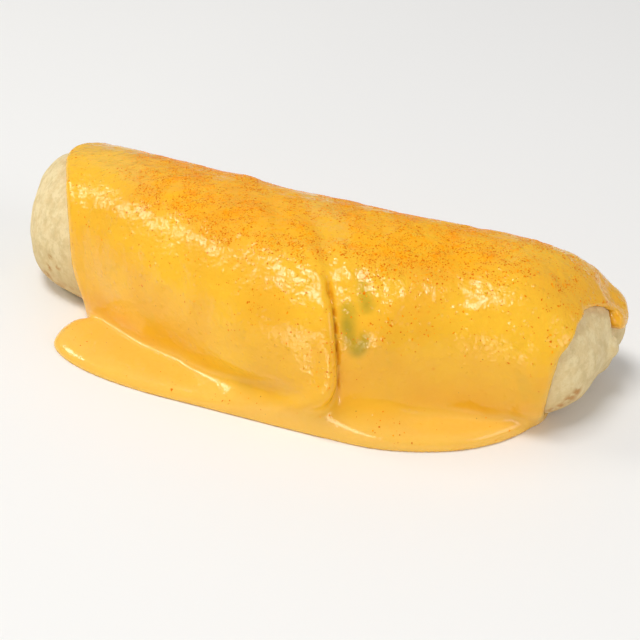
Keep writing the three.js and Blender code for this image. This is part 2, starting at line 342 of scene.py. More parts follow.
def union(a, b, radius):
    """The nearer of two distances, blended over a radius."""
    h = np.clip(0.5 + 0.5 * (b - a) / radius, 0, 1)
    return b + (a - b) * h - radius * h * (1 - h)


def common(a, b, radius):
    """The farther of two distances, blended over a radius."""
    return -union(-a, -b, radius)


def spline(values, t):
    """Catmull-Rom curve through evenly spaced values; t counts stations and stops at the ends."""
    p = np.array([2 * values[0] - values[1], *values, 2 * values[-1] - values[-2]])
    t = np.clip(t, 0, len(values) - 1 - 1e-9)
    i = t.astype(int)
    f = t - i
    a, b, c, d = p[i], p[i + 1], p[i + 2], p[i + 3]
    turn = 2 * a - 5 * b + 4 * c - d
    return b + 0.5 * (f * (c - a) + f**2 * turn + f**3 * (3 * b - a - 3 * c + d))


def closed_curve(corners, steps=10):
    """Smooth closed line through the corners, with a few steps between each two."""
    p = np.array(corners)
    around = [np.roll(p, shift, axis=0) for shift in (1, 0, -1, -2)]
    knots = [np.zeros((len(p), 1))]
    for near, far in zip(around, around[1:]):
        knots.append(knots[-1] + np.linalg.norm(far - near, axis=1, keepdims=True) ** 0.5)
    rows = []
    for f in np.arange(steps) / steps:
        t = knots[1] + f * (knots[2] - knots[1])
        level = around
        for reach in (1, 2, 3):
            level = [
                ((knots[i + reach] - t) * level[i] + (t - knots[i]) * level[i + 1])
                / (knots[i + reach] - knots[i])
                for i in range(4 - reach)
            ]
        rows.append(level[0])
    return np.stack(rows, axis=1).reshape(-1, 2)


def farthest(*fields):
    """The largest of several distances: what the bodies have in common."""
    return functools.reduce(np.maximum, fields)


def outline_distance(x, y, outline):
    """Distance to a closed outline, negative inside, at broadcastable coordinates."""
    x, y = np.broadcast_arrays(x, y)
    ends = np.array(outline)
    best = np.full(x.shape, np.inf)
    inside = np.zeros(x.shape, bool)
    for (ax, ay), (bx, by) in zip(ends, np.roll(ends, -1, axis=0)):
        ex, ey = bx - ax, by - ay
        t = np.clip(((x - ax) * ex + (y - ay) * ey) / (ex * ex + ey * ey), 0, 1)
        best = np.minimum(best, np.hypot(x - ax - t * ex, y - ay - t * ey))
        if ay != by:
            inside ^= ((ay > y) != (by > y)) & (x < ax + ex * (y - ay) / ey)
    return np.where(inside, -best, best)


# ---- Grid, fields and skin ----


class Grid:
    """Evenly spaced points in a box, with its coordinates as arrays that broadcast."""

    def __init__(self, low, high, pitch):
        self.low = np.array(low)
        self.pitch = pitch
        self.axes = [np.arange(a, b + pitch, pitch) for a, b in zip(low, high)]
        self.x, self.y, self.z = np.meshgrid(*self.axes, indexing="ij", sparse=True)

    def past(self, place):
        """The coordinates, counted from a place."""
        return [axis - at for axis, at in zip((self.x, self.y, self.z), place)]

    def sample(self, values, points):
        """Values of a grid array at points, by linear mixing."""
        top = np.array(values.shape) - 1.001
        place = np.clip((points - self.low) / self.pitch, 0, top)
        i = place.astype(int)
        f = place - i
        total = 0
        for corner in np.ndindex(2, 2, 2):
            weight = np.prod(np.where(corner, f, 1 - f), axis=1)
            total += weight * values[tuple((i + corner).T)]
        return total

    def waves(self, size, seed):
        """Smooth random heights, mostly between -1 and 1, with lumps of a given size."""
        bases = []
        for axis in self.axes:
            t = (axis - axis[0]) / size
            knots = np.arange(int(t[-1]) + 4) - 1
            u = np.abs(t[:, None] - knots[None, :])
            bases.append(np.where(u < 1, 2 / 3 - u**2 + u**3 / 2, np.clip(2 - u, 0, 2) ** 3 / 6))
        lattice = np.random.default_rng(seed).uniform(-2.4, 2.4, [b.shape[1] for b in bases])
        return np.einsum("ia,jb,kc,abc->ijk", *bases, lattice, optimize=True)


class Roll:
    """The bare roll on a grid: place along it, angle round it, and distance from its skin."""

    def __init__(self, size, grid):
        steps = np.arange(size.left_tip - MARGIN, size.right_tip + MARGIN, STEP)
        last = len(size.heights) - 1
        station = last - above_zero(last - above_zero((steps - size.first) / size.pitch))
        half = spline(size.heights, station) / (1 + size.foot_share)
        left = steps < 0
        tip = np.where(left, size.left_tip, size.right_tip)
        ends = (np.where(left, a, b) for a, b in zip(LEFT_END, RIGHT_END))
        shoulder, square, shoulder_up, square_up, tip_height = ends
        out = np.clip((steps - shoulder) / (tip - shoulder), 0, None) ** square
        out_up = np.clip((steps - shoulder_up) / (tip - shoulder_up), 0, None) ** square_up
        fall = 1 - np.clip(1 - out_up, 0, 1) ** (1 / square_up)
        self.tables = dict(
            centre=spline(size.centre_line, station),
            rise=size.foot_share * half * (1 - fall) + tip_height * fall,
            width=spline(size.half_widths, station),
            height=half,
            out=out,
            out_up=out_up,
            square=square,
            square_up=square_up,
        )
        self.steps = steps
        self.size = size
        self.s = np.stack([self.along(grid.axes[0], y) for y in grid.axes[1]], axis=1)[..., None]
        self.across = grid.y - self.look("centre")
        self.up = grid.z - self.look("rise")
        self.distance = self.measure(grid, self.up)
        share = np.interp(self.s, *np.array(DRAPE).T)
        self.draped = self.measure(grid, np.maximum(self.up, share * self.up))
        self.degrees = np.degrees(np.arctan2(-self.across, self.up))

    def look(self, name):
        return np.interp(self.s, self.steps, self.tables[name])

    def measure(self, grid, up):
        """Distance from the skin, where it lies some height above the centre line."""
        n = self.size.squareness
        a = (np.abs(self.across) / self.look("width")) ** n
        b = (np.abs(up) / self.look("height")) ** n
        level = (b + 0.02) / (a + b + 0.04)
        square, past = (
            self.look(name) + level * (self.look(name + "_up") - self.look(name))
            for name in ("square", "out")
        )
        value = ((a + b) ** (square / n) + past) ** (1 / square) - 1
        slope = np.sqrt(sum(g * g for g in np.gradient(value, grid.pitch)))
        return value / np.maximum(slope, 1) - swellings(grid, SWELLINGS)

    def slant(self, s, across):
        at, front, back = np.array(SLANTS).T
        behind = smoothstep(across, -SLANT_BLEND, SLANT_BLEND)
        near = np.interp(s, at, front)
        return near + (np.interp(s, at, back) - near) * behind

    def along(self, x, y):
        """Place along the roll of the sections that pass through each x at one y."""
        across = y - self.tables["centre"]
        return np.interp(x, self.steps - self.slant(self.steps, across) * across, self.steps)

    def point(self, s, degrees, off):
        """Point off the skin of the roll, away from the ends."""
        turn = math.radians(degrees)
        n = self.size.squareness
        row = {k: float(np.interp(s, self.steps, v)) for k, v in self.tables.items()}
        wide = abs(math.sin(turn)) / row["width"]
        tall = abs(math.cos(turn)) / row["height"]
        radius = (wide**n + tall**n) ** (-1 / n) + off
        across = -radius * math.sin(turn)
        x = s - float(self.slant(s, across)) * across
        return Vector((x, row["centre"] + across, row["rise"] + radius * math.cos(turn)))


def skin(values, grid, rounds=3):
    """Vertices and quads of the surface where the values change sign, outside where positive."""
    cells = np.array(values.shape) - 1
    total = np.zeros((4, cells.prod()))
    quads = []
    for axis in range(3):
        near, far = np.delete(values, -1, axis), np.delete(values, 0, axis)
        hit = np.argwhere((near < 0) != (far < 0))
        before, after = near[tuple(hit.T)], far[tuple(hit.T)]
        place = hit.astype(float)
        place[:, axis] += before / (before - after)
        ring = []
        for first, second in ((1, 1), (0, 1), (0, 0), (1, 0)):
            cell = hit.copy()
            cell[:, (axis + 1) % 3] -= first
            cell[:, (axis + 2) % 3] -= second
            flat = np.ravel_multi_index(cell.T, cells)
            for row, weights in enumerate((*place.T, None)):
                total[row] += np.bincount(flat, weights, len(total[row]))
            ring.append(flat)
        ring = np.stack(ring, axis=1)
        turned = before > 0
        ring[turned] = ring[turned][:, ::-1]
        quads.append(ring)
    quads = np.concatenate(quads)
    used, quads = np.unique(quads, return_inverse=True)
    quads = quads.reshape(-1, 4)
    points = (total[:3, used] / total[3, used]).T * grid.pitch + grid.low
    for _ in range(rounds):
        points = settle(relax(points, quads), values, grid)
    return points, quads


def relax(points, quads, share=0.5):
    """Points moved towards the middle of their neighbours."""
    total = np.zeros_like(points)
    count = np.zeros(len(points))
    for a, b in ((0, 1), (1, 2), (2, 3), (3, 0)):
        for near, far in ((quads[:, a], quads[:, b]), (quads[:, b], quads[:, a])):
            for axis in range(3):
                total[:, axis] += np.bincount(near, points[far, axis], len(points))
            count += np.bincount(near, minlength=len(points))
    return points + share * (total / count[:, None] - points)


def settle(points, values, grid):
    """Points moved along the slope of a field onto its zero."""
    step = grid.pitch / 2
    slope = np.stack([
        grid.sample(values, points + move) - grid.sample(values, points - move)
        for move in np.eye(3) * step
    ], axis=1) / (2 * step)
    value = grid.sample(values, points)[:, None]
    shift = value * slope / np.maximum((slope**2).sum(axis=1, keepdims=True), 0.2)
    return points - np.clip(shift, -grid.pitch, grid.pitch)


def add_object(name, data):
    thing = bpy.data.objects.new(name, data)
    bpy.context.scene.collection.objects.link(thing)
    return thing


def add_mesh(name, points, faces, nodes, material, smooth=True):
    """Object that rides on the body and stands for some CAD nodes."""
    mesh = bpy.data.meshes.new(name)
    mesh.from_pydata(points.tolist(), [], faces.tolist())
    mesh.validate()
    mesh.materials.append(material)
    if smooth:
        mesh.shade_smooth()
    piece = add_object(name, mesh)
    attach(piece, "root")
    if nodes:
        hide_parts(*nodes)
    return piece


def add_values(piece, **values):
    """Numbers at each vertex, for the piece's material."""
    for name, row in values.items():
        attribute = piece.data.attributes.new(name, "FLOAT", "POINT")
        attribute.data.foreach_set("value", np.asarray(row, np.float32))


def marks(points, spots):
    """How marked each point is by spots: a place, a share, and where the mark is full and gone."""
    mark = np.zeros(len(points))
    for spot, share, full, gone in spots:
        near = np.linalg.norm(points - spot, axis=1)
        mark = np.maximum(mark, share * fade(near, full, gone))
    return mark


def on_floor(points):
    """Points that would dip under the floor, lifted onto it."""
    return np.column_stack([points[:, :2], np.maximum(points[:, 2], 0)])


# ---- Bodies as fields ----


def swellings(grid, rows):
    """Height of soft swellings, each round a place."""
    return sum(
        height * np.exp(-sum(p**2 for p in grid.past(place)) / radius**2)
        for place, radius, height in rows
    )


def pitch():
    return FINE


def room(low, high):
    """Grid over a box, with a margin for its skin."""
    margin = 3 * pitch()
    return Grid([a - margin for a in low], [b + margin for b in high], pitch())


def ear_distance(grid, grow):
    """Distance to the ear behind the fold, grown all over."""
    parts = [p / (size + grow) for p, size in zip(grid.past(EAR_AT), EAR_SIZE)]
    near = np.sqrt(sum(p * p for p in parts))
    slope = np.sqrt(sum((p / (s + grow)) ** 2 for p, s in zip(parts, EAR_SIZE)))
    return near * (near - 1) / np.maximum(slope, 1e-6)


def wrapped(roll, grid, side):
    """Outside of the left (-1) or right (1) half of the roll, up to its cut."""
    size = roll.size
    if side < 0:
        body = fold_layers(roll, grid, LEFT_FOLD, FOLDS_FROM[0] - roll.s)
        return farthest(body, roll.s - size.cut_left)
    body = fold_layers(roll, grid, RIGHT_FOLD, roll.s - FOLDS_FROM[1])
    body = union(body, ear_distance(grid, 0), 0.0015)
    return farthest(body, size.cut_right - roll.s)


def fold_layers(roll, grid, outline, beyond):
    """The outer turn up to its free edge, and the turns below that show behind it."""
    edge = -outline_distance(grid.y, grid.z, outline)
    edge = union(edge, beyond, 0.003)
    flap = common(roll.distance, edge, 0.0012)
    groove = GROOVE_DEPTH * bell(edge, 0, GROOVE_WIDTH)
    return union(flap, roll.distance + roll.size.fold + groove, 0.0007)


def tortilla_field(roll, grid, side, blister):
    """Wrap of the left (-1) or right (1) half, with its folded end and a hollow for the filling."""
    size = roll.size
    bare = smoothstep(coat_field(roll, grid, bpy.context.scene.burrito_sauce), 0.0005, 0.003)
    lumps = blister * bare * (grid.waves(0.006, 31) + 0.6 * grid.waves(0.0025, 32))
    inner = roll.distance + size.wrap + END_WALL * smoothstep(np.abs(roll.s), 0.08, 0.09)
    hollow = common(inner, size.wrap - grid.z, 0.0005)
    return farthest(wrapped(roll, grid, side) - lumps, -hollow, -grid.z)


def past_curtain(roll, grid):
    """Distance beyond the lip of the left half's coat, which ends in a round corner low down."""
    beyond = (roll.s - roll.size.cut_left - LIP_OVERHANG) / STEEP
    below = LIP_FOOT + LIP_RISE * (roll.s - roll.size.cut_left) - grid.z
    return common(beyond, below, LIP_CORNER)


def cut_depth(roll, grid, curtain, depth):
    """How far the sauce sinks at the cut, by millimetres across it and degrees round the roll."""
    across = (roll.s - roll.size.cut_left) * 1000
    groove = GROOVE * smoothstep(curtain, -0.002, 0.0008) * fade(across, 2.2, 5)
    shelf = between(across, 0, 4, 10, 28)
    valley = bell(across, 13.5, 2.6) * fade(roll.degrees, 66, 84)
    front = between(roll.degrees, *LIP_TURN, 100, 125)
    sunk = np.maximum(groove, SHELF * shelf) + VALLEY * valley
    top = between(roll.degrees, -20, 20, 42, 60)
    soft = bell(across, 5, 4.5) + 0.3 * bell(across, 14, 3)
    return depth * (front * sunk + CREST * top * soft)


def relief(grid, sauce):
    """Slow waves in the coat, and low flat-topped lumps where it has begun to set."""
    lumps = smoothstep(grid.waves(0.0042, 3), -0.22, 0.22) - 0.5
    setting = 0.45 + 0.55 * smoothstep(grid.z, 0.024, 0.042)
    fine = setting * (0.55 * lumps + 0.16 * grid.waves(0.0022, 4))
    return sauce.wave * (grid.waves(0.013, 1) + 0.5 * grid.waves(0.0055, 2) + fine)


def coat_field(roll, grid, sauce):
    """Sauce on the roll: lip over the cut, dip behind it, thick round edges at both ends."""
    middle = between(grid.x, -0.05, -0.03, 0.022, 0.032)
    thinner = THIN_FOOT * middle * fade(grid.z, 0.011, 0.02) * (roll.across < 0)
    coat = roll.draped - sauce.coat + thinner - relief(grid, sauce)
    coat -= swellings(grid, SAUCE_SWELLINGS)
    curtain = past_curtain(roll, grid)
    front = smoothstep(roll.degrees, *LIP_TURN)
    lean = 1 + COLLAR_FOOT * fade(grid.z, 0.016, 0.038)
    collar = lean * smoothstep(curtain, -0.009, -0.002) * smoothstep(roll.degrees, 50, 66)
    left = common(coat - sauce.collar * collar, curtain + 0.012 * (1 - front), LIP_EDGE)
    behind = coat + cut_depth(roll, grid, curtain, sauce.dip)
    field = union(left, behind, CUT_TOP + (CUT_FRONT - CUT_TOP) * front)
    slide = SLIDE_TOP * fade(roll.degrees, 0, 40)
    slide += SLIDE_FOOT * fade(grid.z, 0, 0.024)
    slide += SLIDE_BACK * fade(roll.degrees, -60, -15)
    field = common(field, (sauce.coat_left + slide - roll.s) / STEEP, LEFT_EDGE)
    bare = -outline_distance(grid.y, grid.z, BARE_END)
    bare = common(-bare, BARE_FROM + BARE_RAKE * grid.z - grid.x, 0.004)
    return common(field, -bare, BARE_EDGE)


def flow_field(grid):
    """Sauce that runs out of the cut, down into the pool."""
    start, end, wide = FLOW
    way = np.subtract(end, start)
    place = grid.past(start)
    t = np.clip(sum(p * w for p, w in zip(place, way)) / (way @ way), 0, 1)
    return np.sqrt(sum((p - t * w) ** 2 for p, w in zip(place, way))) - wide


def pool_field(roll, grid, sauce):
    """Puddle with a round edge, that banks up against the front of the roll."""
    out = outline_distance(grid.x[..., 0], grid.y[..., 0], closed_curve(POOL_OUTLINE))
    out = out[..., None] + 0.0005 * grid.waves(0.02, 5)
    edge = np.clip(out + sauce.pool_edge, 0, None) / sauce.pool_edge
    at, rise = np.array(BANK).T
    beyond = np.clip(-roll.across - roll.look("width"), 0, None)
    bank = np.interp(grid.x, at, rise) * np.exp(-beyond / BANK_REACH) * (roll.across < 0)
    level = grid.z / (sauce.pool + bank + 0.0003 * grid.waves(0.014, 6))
    square = 2 + 1.2 * smoothstep(grid.x, -0.04, 0.0)
    return ((edge**square + np.abs(level) ** square) ** (1 / square) - 1) * sauce.pool


def tongue_field(grid, sauce):
    """Sauce that runs over the ear, down to a rounded edge."""
    below = TONGUE_FOOT + TONGUE_SLOPE * (grid.y - 0.02) - grid.z
    return common(ear_distance(grid, sauce.coat), below + 0 * grid.x, 0.005)


# ---- Materials ----


class Shader:
    """Node tree of a new material or world, with short ways to add nodes and links."""

    def __init__(self, name, world=False):
        self.owner = (bpy.data.worlds if world else bpy.data.materials).new(name)
        self.owner.use_nodes = True
        self.tree = self.owner.node_tree
        self.surface = self.tree.nodes["Background" if world else "Principled BSDF"]
        self.place = self.add("TexCoord").outputs["Generated" if world else "Object"]

    def add(self, kind, inputs=None, **settings):
        node = self.tree.nodes.new("ShaderNode" + kind)
        for key, value in settings.items():
            setattr(node, key, value)
        for key, value in (inputs or {}).items():
            self.feed(node.inputs[key], value)
        return node

    def feed(self, socket, value):
        if isinstance(value, bpy.types.NodeSocket):
            self.tree.links.new(value, socket)
        elif hasattr(value, "__len__") and len(value) == 3 and socket.type == "RGBA":
            socket.default_value = (*value, 1)
        else:
            socket.default_value = value

    def finish(self, **inputs):
        """What the tree belongs to, with these inputs of its surface fed."""
        for key, value in inputs.items():
            self.feed(self.surface.inputs[key.replace("_", " ")], value)
        return self.owner

    def value(self, name):
        return self.add("Attribute", attribute_name=name).outputs["Fac"]

    def maths(self, operation, *values):
        return self.add("Math", dict(enumerate(values)), operation=operation).outputs[0]

    def noise(self, size, detail=3.0, rough=0.55, stretch=(1, 1, 1)):
        """Cloudy noise with lumps of a given size in metres."""
        place = self.place
        if stretch != (1, 1, 1):
            place = self.add("Mapping", {"Vector": place, "Scale": stretch}).outputs[0]
        settings = {"Vector": place, "Scale": 1 / size, "Detail": detail, "Roughness": rough}
        return self.add("TexNoise", settings).outputs["Fac"]

    def grade(self, value, low, high, start=0.0, end=1.0):
        """A value eased from start to end as it goes from low to high."""
        inputs = {"Value": value, "From Min": low, "From Max": high, "To Min": start, "To Max": end}
        return self.add("MapRange", inputs, interpolation_type="SMOOTHSTEP").outputs[0]

    def mix(self, factor, a, b):
        inputs = {0: factor, 6: a, 7: b}
        return self.add("Mix", inputs, data_type="RGBA", clamp_factor=True).outputs[2]

    def lay(self, base, colour, cover, most):
        """A colour laid over a base, as far as it covers it, times the most that it may."""
        return self.mix(self.maths("MULTIPLY", cover, most), base, colour)

    def height(self):
        return self.add("SeparateXYZ", {"Vector": self.place}).outputs["Z"]

    def dots(self, size, radius, share, softness=0.5):
        """Round specks, one to a cell of a given size; share is the part of the cells with one."""
        cells = self.add("TexVoronoi", {"Vector": self.place, "Scale": 1 / size})
        random = self.add("SeparateColor", {"Color": cells.outputs["Color"]})
        reach = self.maths("MULTIPLY_ADD", random.outputs[1], radius * 0.7, radius * 0.45)
        near = self.maths("DIVIDE", cells.outputs["Distance"], reach)
        dot = self.grade(near, 1.0, 1.0 - softness)
        chosen = self.maths("LESS_THAN", random.outputs[0], share)
        return self.maths("MULTIPLY", dot, chosen)

    def bump(self, *layers, strength=1.0):
        """Bumps on bumps: each layer's height, and the distance it stands for."""
        normal = None
        for height, distance in layers:
            inputs = {"Height": height, "Distance": distance, "Strength": strength}
            if normal:
                inputs["Normal"] = normal
            normal = self.add("Bump", inputs).outputs[0]
        return normal


def sauce_material(sauce, paprika, chile):
    """Glossy melted cheese, specked with paprika, with the chile showing through; paler low down,
    partly as painted sheen, and with painted soft shade in olive blotches low on the coat.
    """
    sh = Shader("cheese_sauce")
    depth = sh.noise(0.03, 2.0)
    base = sh.mix(sh.grade(depth, 0.35, 0.7), sauce.golden, sauce.amber)
    height = sh.height()
    # Olive blotches, only below the upper coat: uneven tone, and painted soft shade on the lower
    # wall.
    dull_and_shade = sh.maths("MULTIPLY", sh.grade(sh.noise(0.014), 0.56, 0.74), sh.grade(height, 0.04, 0.03))
    base = sh.lay(base, sauce.olive, dull_and_shade, 0.5)
    # Paler low down on the pool: partly thin sauce over the floor, partly painted sheen.
    base = sh.lay(base, sauce.pale, sh.value("thin"), 0.75)
    fine = sh.noise(0.0016, 4.0)
    base = sh.mix(sh.grade(fine, 0.3, 0.8, 0, 0.18), base, sauce.amber)
    dust = sh.value("paprika")
    cover = sh.value("cover")
    cloud = sh.noise(0.004, 5.0, 0.7)
    base = sh.lay(base, paprika.stain, cover, sh.grade(cloud, 0.3, 0.7, 0.15, 0.5))
    stain = sh.maths("MULTIPLY", dust, sh.grade(cloud, 0.38, 0.72))
    base = sh.lay(base, paprika.stain, stain, 0.8)
    share = sh.maths("MULTIPLY_ADD", dust, 0.9, 0.01)
    base = sh.lay(base, BLOT, sh.dots(0.0021, 0.42, share, 0.9), 0.4)
    base = sh.lay(base, paprika.red, sh.dots(0.0011, 0.3, share, 0.6), 0.7)
    base = sh.lay(base, DARK_SPECK, sh.dots(0.003, 0.09, 0.35, 0.5), 0.6)
    film = sh.grade(sh.noise(0.005, 2.0), 0.3, 0.7, 0.65, 1.0)
    base = sh.lay(base, chile.green, sh.value("green"), film)
    lumps = sh.noise(0.0045, 2.0)
    bubbles = sh.dots(0.0026, 0.42, 0.75, 1.0)
    grain = sh.noise(0.0015, 3.0, 0.6)
    layers = (lumps, 0.0006), (bubbles, 0.0002), (grain, 0.00022)
    return sh.finish(
        Base_Color=base,
        Roughness=sh.grade(cloud, 0.3, 0.8, sauce.gloss, sauce.gloss + 0.08),
        Specular_IOR_Level=sh.grade(cover, 0.4, 1.0, 0.5, 0.14),
        IOR=1.48,
        Subsurface_Weight=0.22,
        Subsurface_Scale=0.003,
        Subsurface_Radius=WARM_DEPTHS,
        Normal=sh.bump(*layers, strength=sh.grade(height, 0.01, 0.032, 0.3, 1.0)),
    )


def tortilla_material(tortilla):
    """Soft flour tortilla with pale blotches and toasted spots, and painted shade towards the
    floor.
    """
    sh = Shader("tortilla")
    blotch = sh.noise(0.004, 4.0, 0.6)
    base = sh.mix(sh.grade(blotch, 0.38, 0.62), tortilla.cream, tortilla.floury)
    grey = sh.noise(0.0028, 4.0, 0.65, (1, 0.7, 0.7))
    base = sh.mix(sh.grade(grey, 0.46, 0.66, 0, 0.55), base, tortilla.khaki)
    grain = sh.noise(0.0007, 2.0)
    base = sh.mix(sh.grade(grain, 0.5, 0.75, 0, 0.3), base, tortilla.khaki)
    # Khaki laid on more towards the floor: painted shade low on the tortilla.
    base = sh.mix(sh.grade(sh.height(), 0.028, 0.006, 0, 0.6), base, tortilla.khaki)
    toast = sh.value("toast")
    patch = sh.maths("MULTIPLY", toast, sh.grade(sh.noise(0.003, 4.0, 0.6), 0.42, 0.58))
    base = sh.lay(base, tortilla.toasted, patch, 0.85)
    spots = sh.dots(0.0034, 0.22, sh.maths("MULTIPLY_ADD", toast, 0.6, 0.08), 0.8)
    base = sh.lay(base, tortilla.toasted, spots, 0.6)
    broken = sh.grade(sh.noise(0.0024, 3.0), 0.36, 0.56, 0.0, 0.9)
    base = sh.lay(base, tortilla.toasted, sh.value("scorch"), broken)
    return sh.finish(
        Base_Color=base,
        Roughness=0.78,
        Subsurface_Weight=0.12,
        Subsurface_Scale=0.002,
        Subsurface_Radius=WARM_DEPTHS,
        Normal=sh.bump((sh.noise(0.0035, 4.0), 0.0004), (sh.noise(0.001, 3.0), 0.00012)),
    )


def filling_material():
    """Moist cooked filling."""
    sh = Shader("filling")
    lumps = sh.noise(0.006, 4.0)
    base = sh.mix(sh.grade(lumps, 0.35, 0.65), *FILLING_COLOURS)
    return sh.finish(Base_Color=base, Roughness=0.5, Normal=sh.bump((lumps, 0.0012)))


def chile_material(chile, sauce):
    """Wet green chile under a film of sauce."""
    sh = Shader("green_chile")
    film = sh.noise(0.004, 3.0)
    base = sh.mix(sh.grade(film, 0.45, 0.7, 0.1, 0.7), chile.green, sauce.golden)
    return sh.finish(
        Base_Color=base,
        Roughness=0.22,
        Subsurface_Weight=0.2,
        Subsurface_Scale=0.002,
        Normal=sh.bump((sh.noise(0.002, 3.0), 0.0002)),
    )


def paprika_material(paprika):
    """Dry flakes of paprika, some redder than others."""
    sh = Shader("paprika")
    tone = sh.noise(0.002, 1.0)
    base = sh.mix(sh.grade(tone, 0.4, 0.7), paprika.red, paprika.stain)
    return sh.finish(Base_Color=base, Roughness=0.8, Specular_IOR_Level=0.02)


def floor_material(shade):
    """Pale smooth floor."""
    return Shader("floor").finish(Base_Color=tuple(shade), Roughness=0.6)


def studio_light():
    """White light all round, dimmer towards the horizon."""
    sh = Shader("studio", world=True)
    limits = {"Value": sh.height(), "From Max": 0.5, "To Min": SKY_LOW, "To Max": SKY_HIGH}
    return sh.finish(Color=(1, 1, 1), Strength=sh.add("MapRange", limits).outputs[0])


# ---- Pieces ----


@functools.cache
def grid_roll():
    """The grid over the whole burrito, and the bare roll on it."""
    grid = room(*CAD_BOX)
    return grid, Roll(bpy.context.scene.burrito_roll, grid)


@functools.cache
def sauce_values():
    """Field of the sauce before what it covers is taken out."""
    grid, roll = grid_roll()
    sauce = bpy.context.scene.burrito_sauce
    coat = union(coat_field(roll, grid, sauce), tongue_field(grid, sauce), 0.002)
    coat = union(coat, flow_field(grid), 0.004)
    middle = between(grid.x, 0.0, 0.024, 0.04, 0.05)
    return union(coat, pool_field(roll, grid, sauce), CREASE + CREASE_MORE * middle)


class BURRITO_OT_tortillas(bpy.types.Operator):
    """Wrap both halves of the roll in tortilla"""

    bl_idname = "burrito.tortillas"
    bl_label = "Tortillas"

    def execute(self, context):
        scene = context.scene
        material = tortilla_material(scene.burrito_tortilla)
        for side, node in ((-1, "tortilla_left"), (1, "tortilla_right")):
            grid = room(*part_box(node))
            roll = Roll(scene.burrito_roll, grid)
            values = tortilla_field(roll, grid, side, scene.burrito_tortilla.blister)
            points, quads = skin(values, grid)
            name = node + "_skin"
            piece = add_mesh(name, on_floor(points), quads, [node], material)
            toast = 0.6 * fade(points[:, 2], 0.003, 0.016)
            spots = [(spot, 1, SCORCH_CORE * radius, radius) for *spot, radius in SCORCHED]
            add_values(piece, toast=toast, scorch=marks(points, spots))
        return {"FINISHED"}


class BURRITO_OT_filling(bpy.types.Operator):
    """Give the filling its finish"""

    bl_idname = "burrito.filling"
    bl_label = "Filling"

    def execute(self, context):
        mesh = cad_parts["filling"].data
        mesh.materials.clear()
        mesh.materials.append(filling_material())
        return {"FINISHED"}


class BURRITO_OT_chiles(bpy.types.Operator):
    """Lay the strips of green chile in the cut"""

    bl_idname = "burrito.chiles"
    bl_label = "Green chiles"

    def execute(self, context):
        scene = context.scene
        material = chile_material(scene.burrito_chile, scene.burrito_sauce)
        for node, path in CHILES.items():
            points, faces = chile_strip(path, scene.burrito_chile.width)
            add_mesh(node + "_flesh", points, faces, [node], material)
        return {"FINISHED"}


def chile_line(path, depth):
    """Fine line of points along a strip's path, some way under the skin of the roll."""
    roll = grid_roll()[1]
    route = np.array(path, float)
    t = np.linspace(0, len(path) - 1, 40)
    return np.array([
        roll.point(s, degrees, -depth)
        for s, degrees in zip(spline(route[:, 0], t), spline(route[:, 1], t))
    ])


def chile_strip(path, width, sides=14):
    """Strip with an oval section and round ends."""
    line = chile_line(path, CHILE_DEPTH)
    along = np.gradient(line, axis=0)
    along /= np.linalg.norm(along, axis=1, keepdims=True)
    out = line - CUT_MIDDLE
    out -= (out * along).sum(axis=1, keepdims=True) * along
    out /= np.linalg.norm(out, axis=1, keepdims=True)
    aside = np.cross(along, out)
    taper = (1 - np.abs(np.linspace(-1, 1, len(line))) ** 3)[:, None, None] ** 0.5
    turn = np.arange(sides)[:, None] / sides * 2 * math.pi
    section = width / 2 * np.cos(turn) * aside[:, None] + CHILE_THICK * np.sin(turn) * out[:, None]
    rings = (line[:, None] + taper * section)[1:-1]
    points = np.concatenate([rings.reshape(-1, 3), line[:1], line[-1:]])
    tip = len(rings) * sides
    last = tip - sides
    i = np.arange(0, last, sides)[:, None]
    j = np.arange(sides)
    k = (j + 1) % sides
    quads = np.stack([i + j, i + k, i + sides + k, i + sides + j], axis=-1).reshape(-1, 4)
    around = list(zip(j.tolist(), k.tolist()))
    caps = [[tip, b, a] for a, b in around] + [[tip + 1, last + a, last + b] for a, b in around]
    return points, np.array(quads.tolist() + caps, dtype=object)


class BURRITO_OT_sauce(bpy.types.Operator):
    """Pour the cheese sauce over the roll"""

    bl_idname = "burrito.sauce"
    bl_label = "Cheese sauce"

    def execute(self, context):
        scene = context.scene
        grid, roll = grid_roll()
        filling = roll.distance + scene.burrito_roll.wrap - FILLING_BULGE
        halves = np.minimum(wrapped(roll, grid, -1), wrapped(roll, grid, 1))
        values = farthest(sauce_values(), GAP - np.minimum(halves, filling), -grid.z)
        points, quads = skin(values, grid)
        material = sauce_material(scene.burrito_sauce, scene.burrito_paprika, scene.burrito_chile)
        nodes = ["cheese_sauce"]
        piece = add_mesh("cheese_sauce_pour", on_floor(points), quads, nodes, material)
        cover = covered(points)
        # Pale mask low down: partly thin sauce over the floor, partly painted sheen on the pool.
        thin = fade(points[:, 2], 0.005, 0.012)
        spots = []
        for path in CHILES.values():
            line = chile_line(path, 0.0)
            spots += [(*row, *CHILE_MARK) for row in zip(line, np.linspace(0.75, 1, len(line)))]
        green = marks(points, spots)
        add_values(piece, cover=cover, paprika=dusting(points, cover), thin=thin, green=green)
        return {"FINISHED"}


def covered(points):
    """Where the paprika falls: most along the top, little at the cut."""
    grid, roll = grid_roll()
    s = grid.sample(np.broadcast_to(roll.s, roll.degrees.shape), points)
    degrees = grid.sample(roll.degrees, points)
    along = smoothstep(s, *DUST_SETS_IN) * (1 - 0.9 * smoothstep(s, *DUST_FADES))
    cut = 1 - 0.8 * between(s, 0.004, 0.009, 0.014, 0.022)
    front = 0.03 + 0.97 * fade(degrees, *DUST_FRONT)
    return along * cut * (smoothstep(degrees, *DUST_BACK) * front)


def dusting(points, cover):
    """How much paprika lies at each point: the cover, in patches and clumps."""
    grid = grid_roll()[0]
    patches = np.clip(0.55 + 1.1 * grid.sample(grid.waves(0.005, 9), points), 0.08, 1.6)
    clumps = np.clip(0.6 + 1.3 * grid.sample(grid.waves(0.002, 10), points), 0.1, 2)
    return cover * patches * clumps


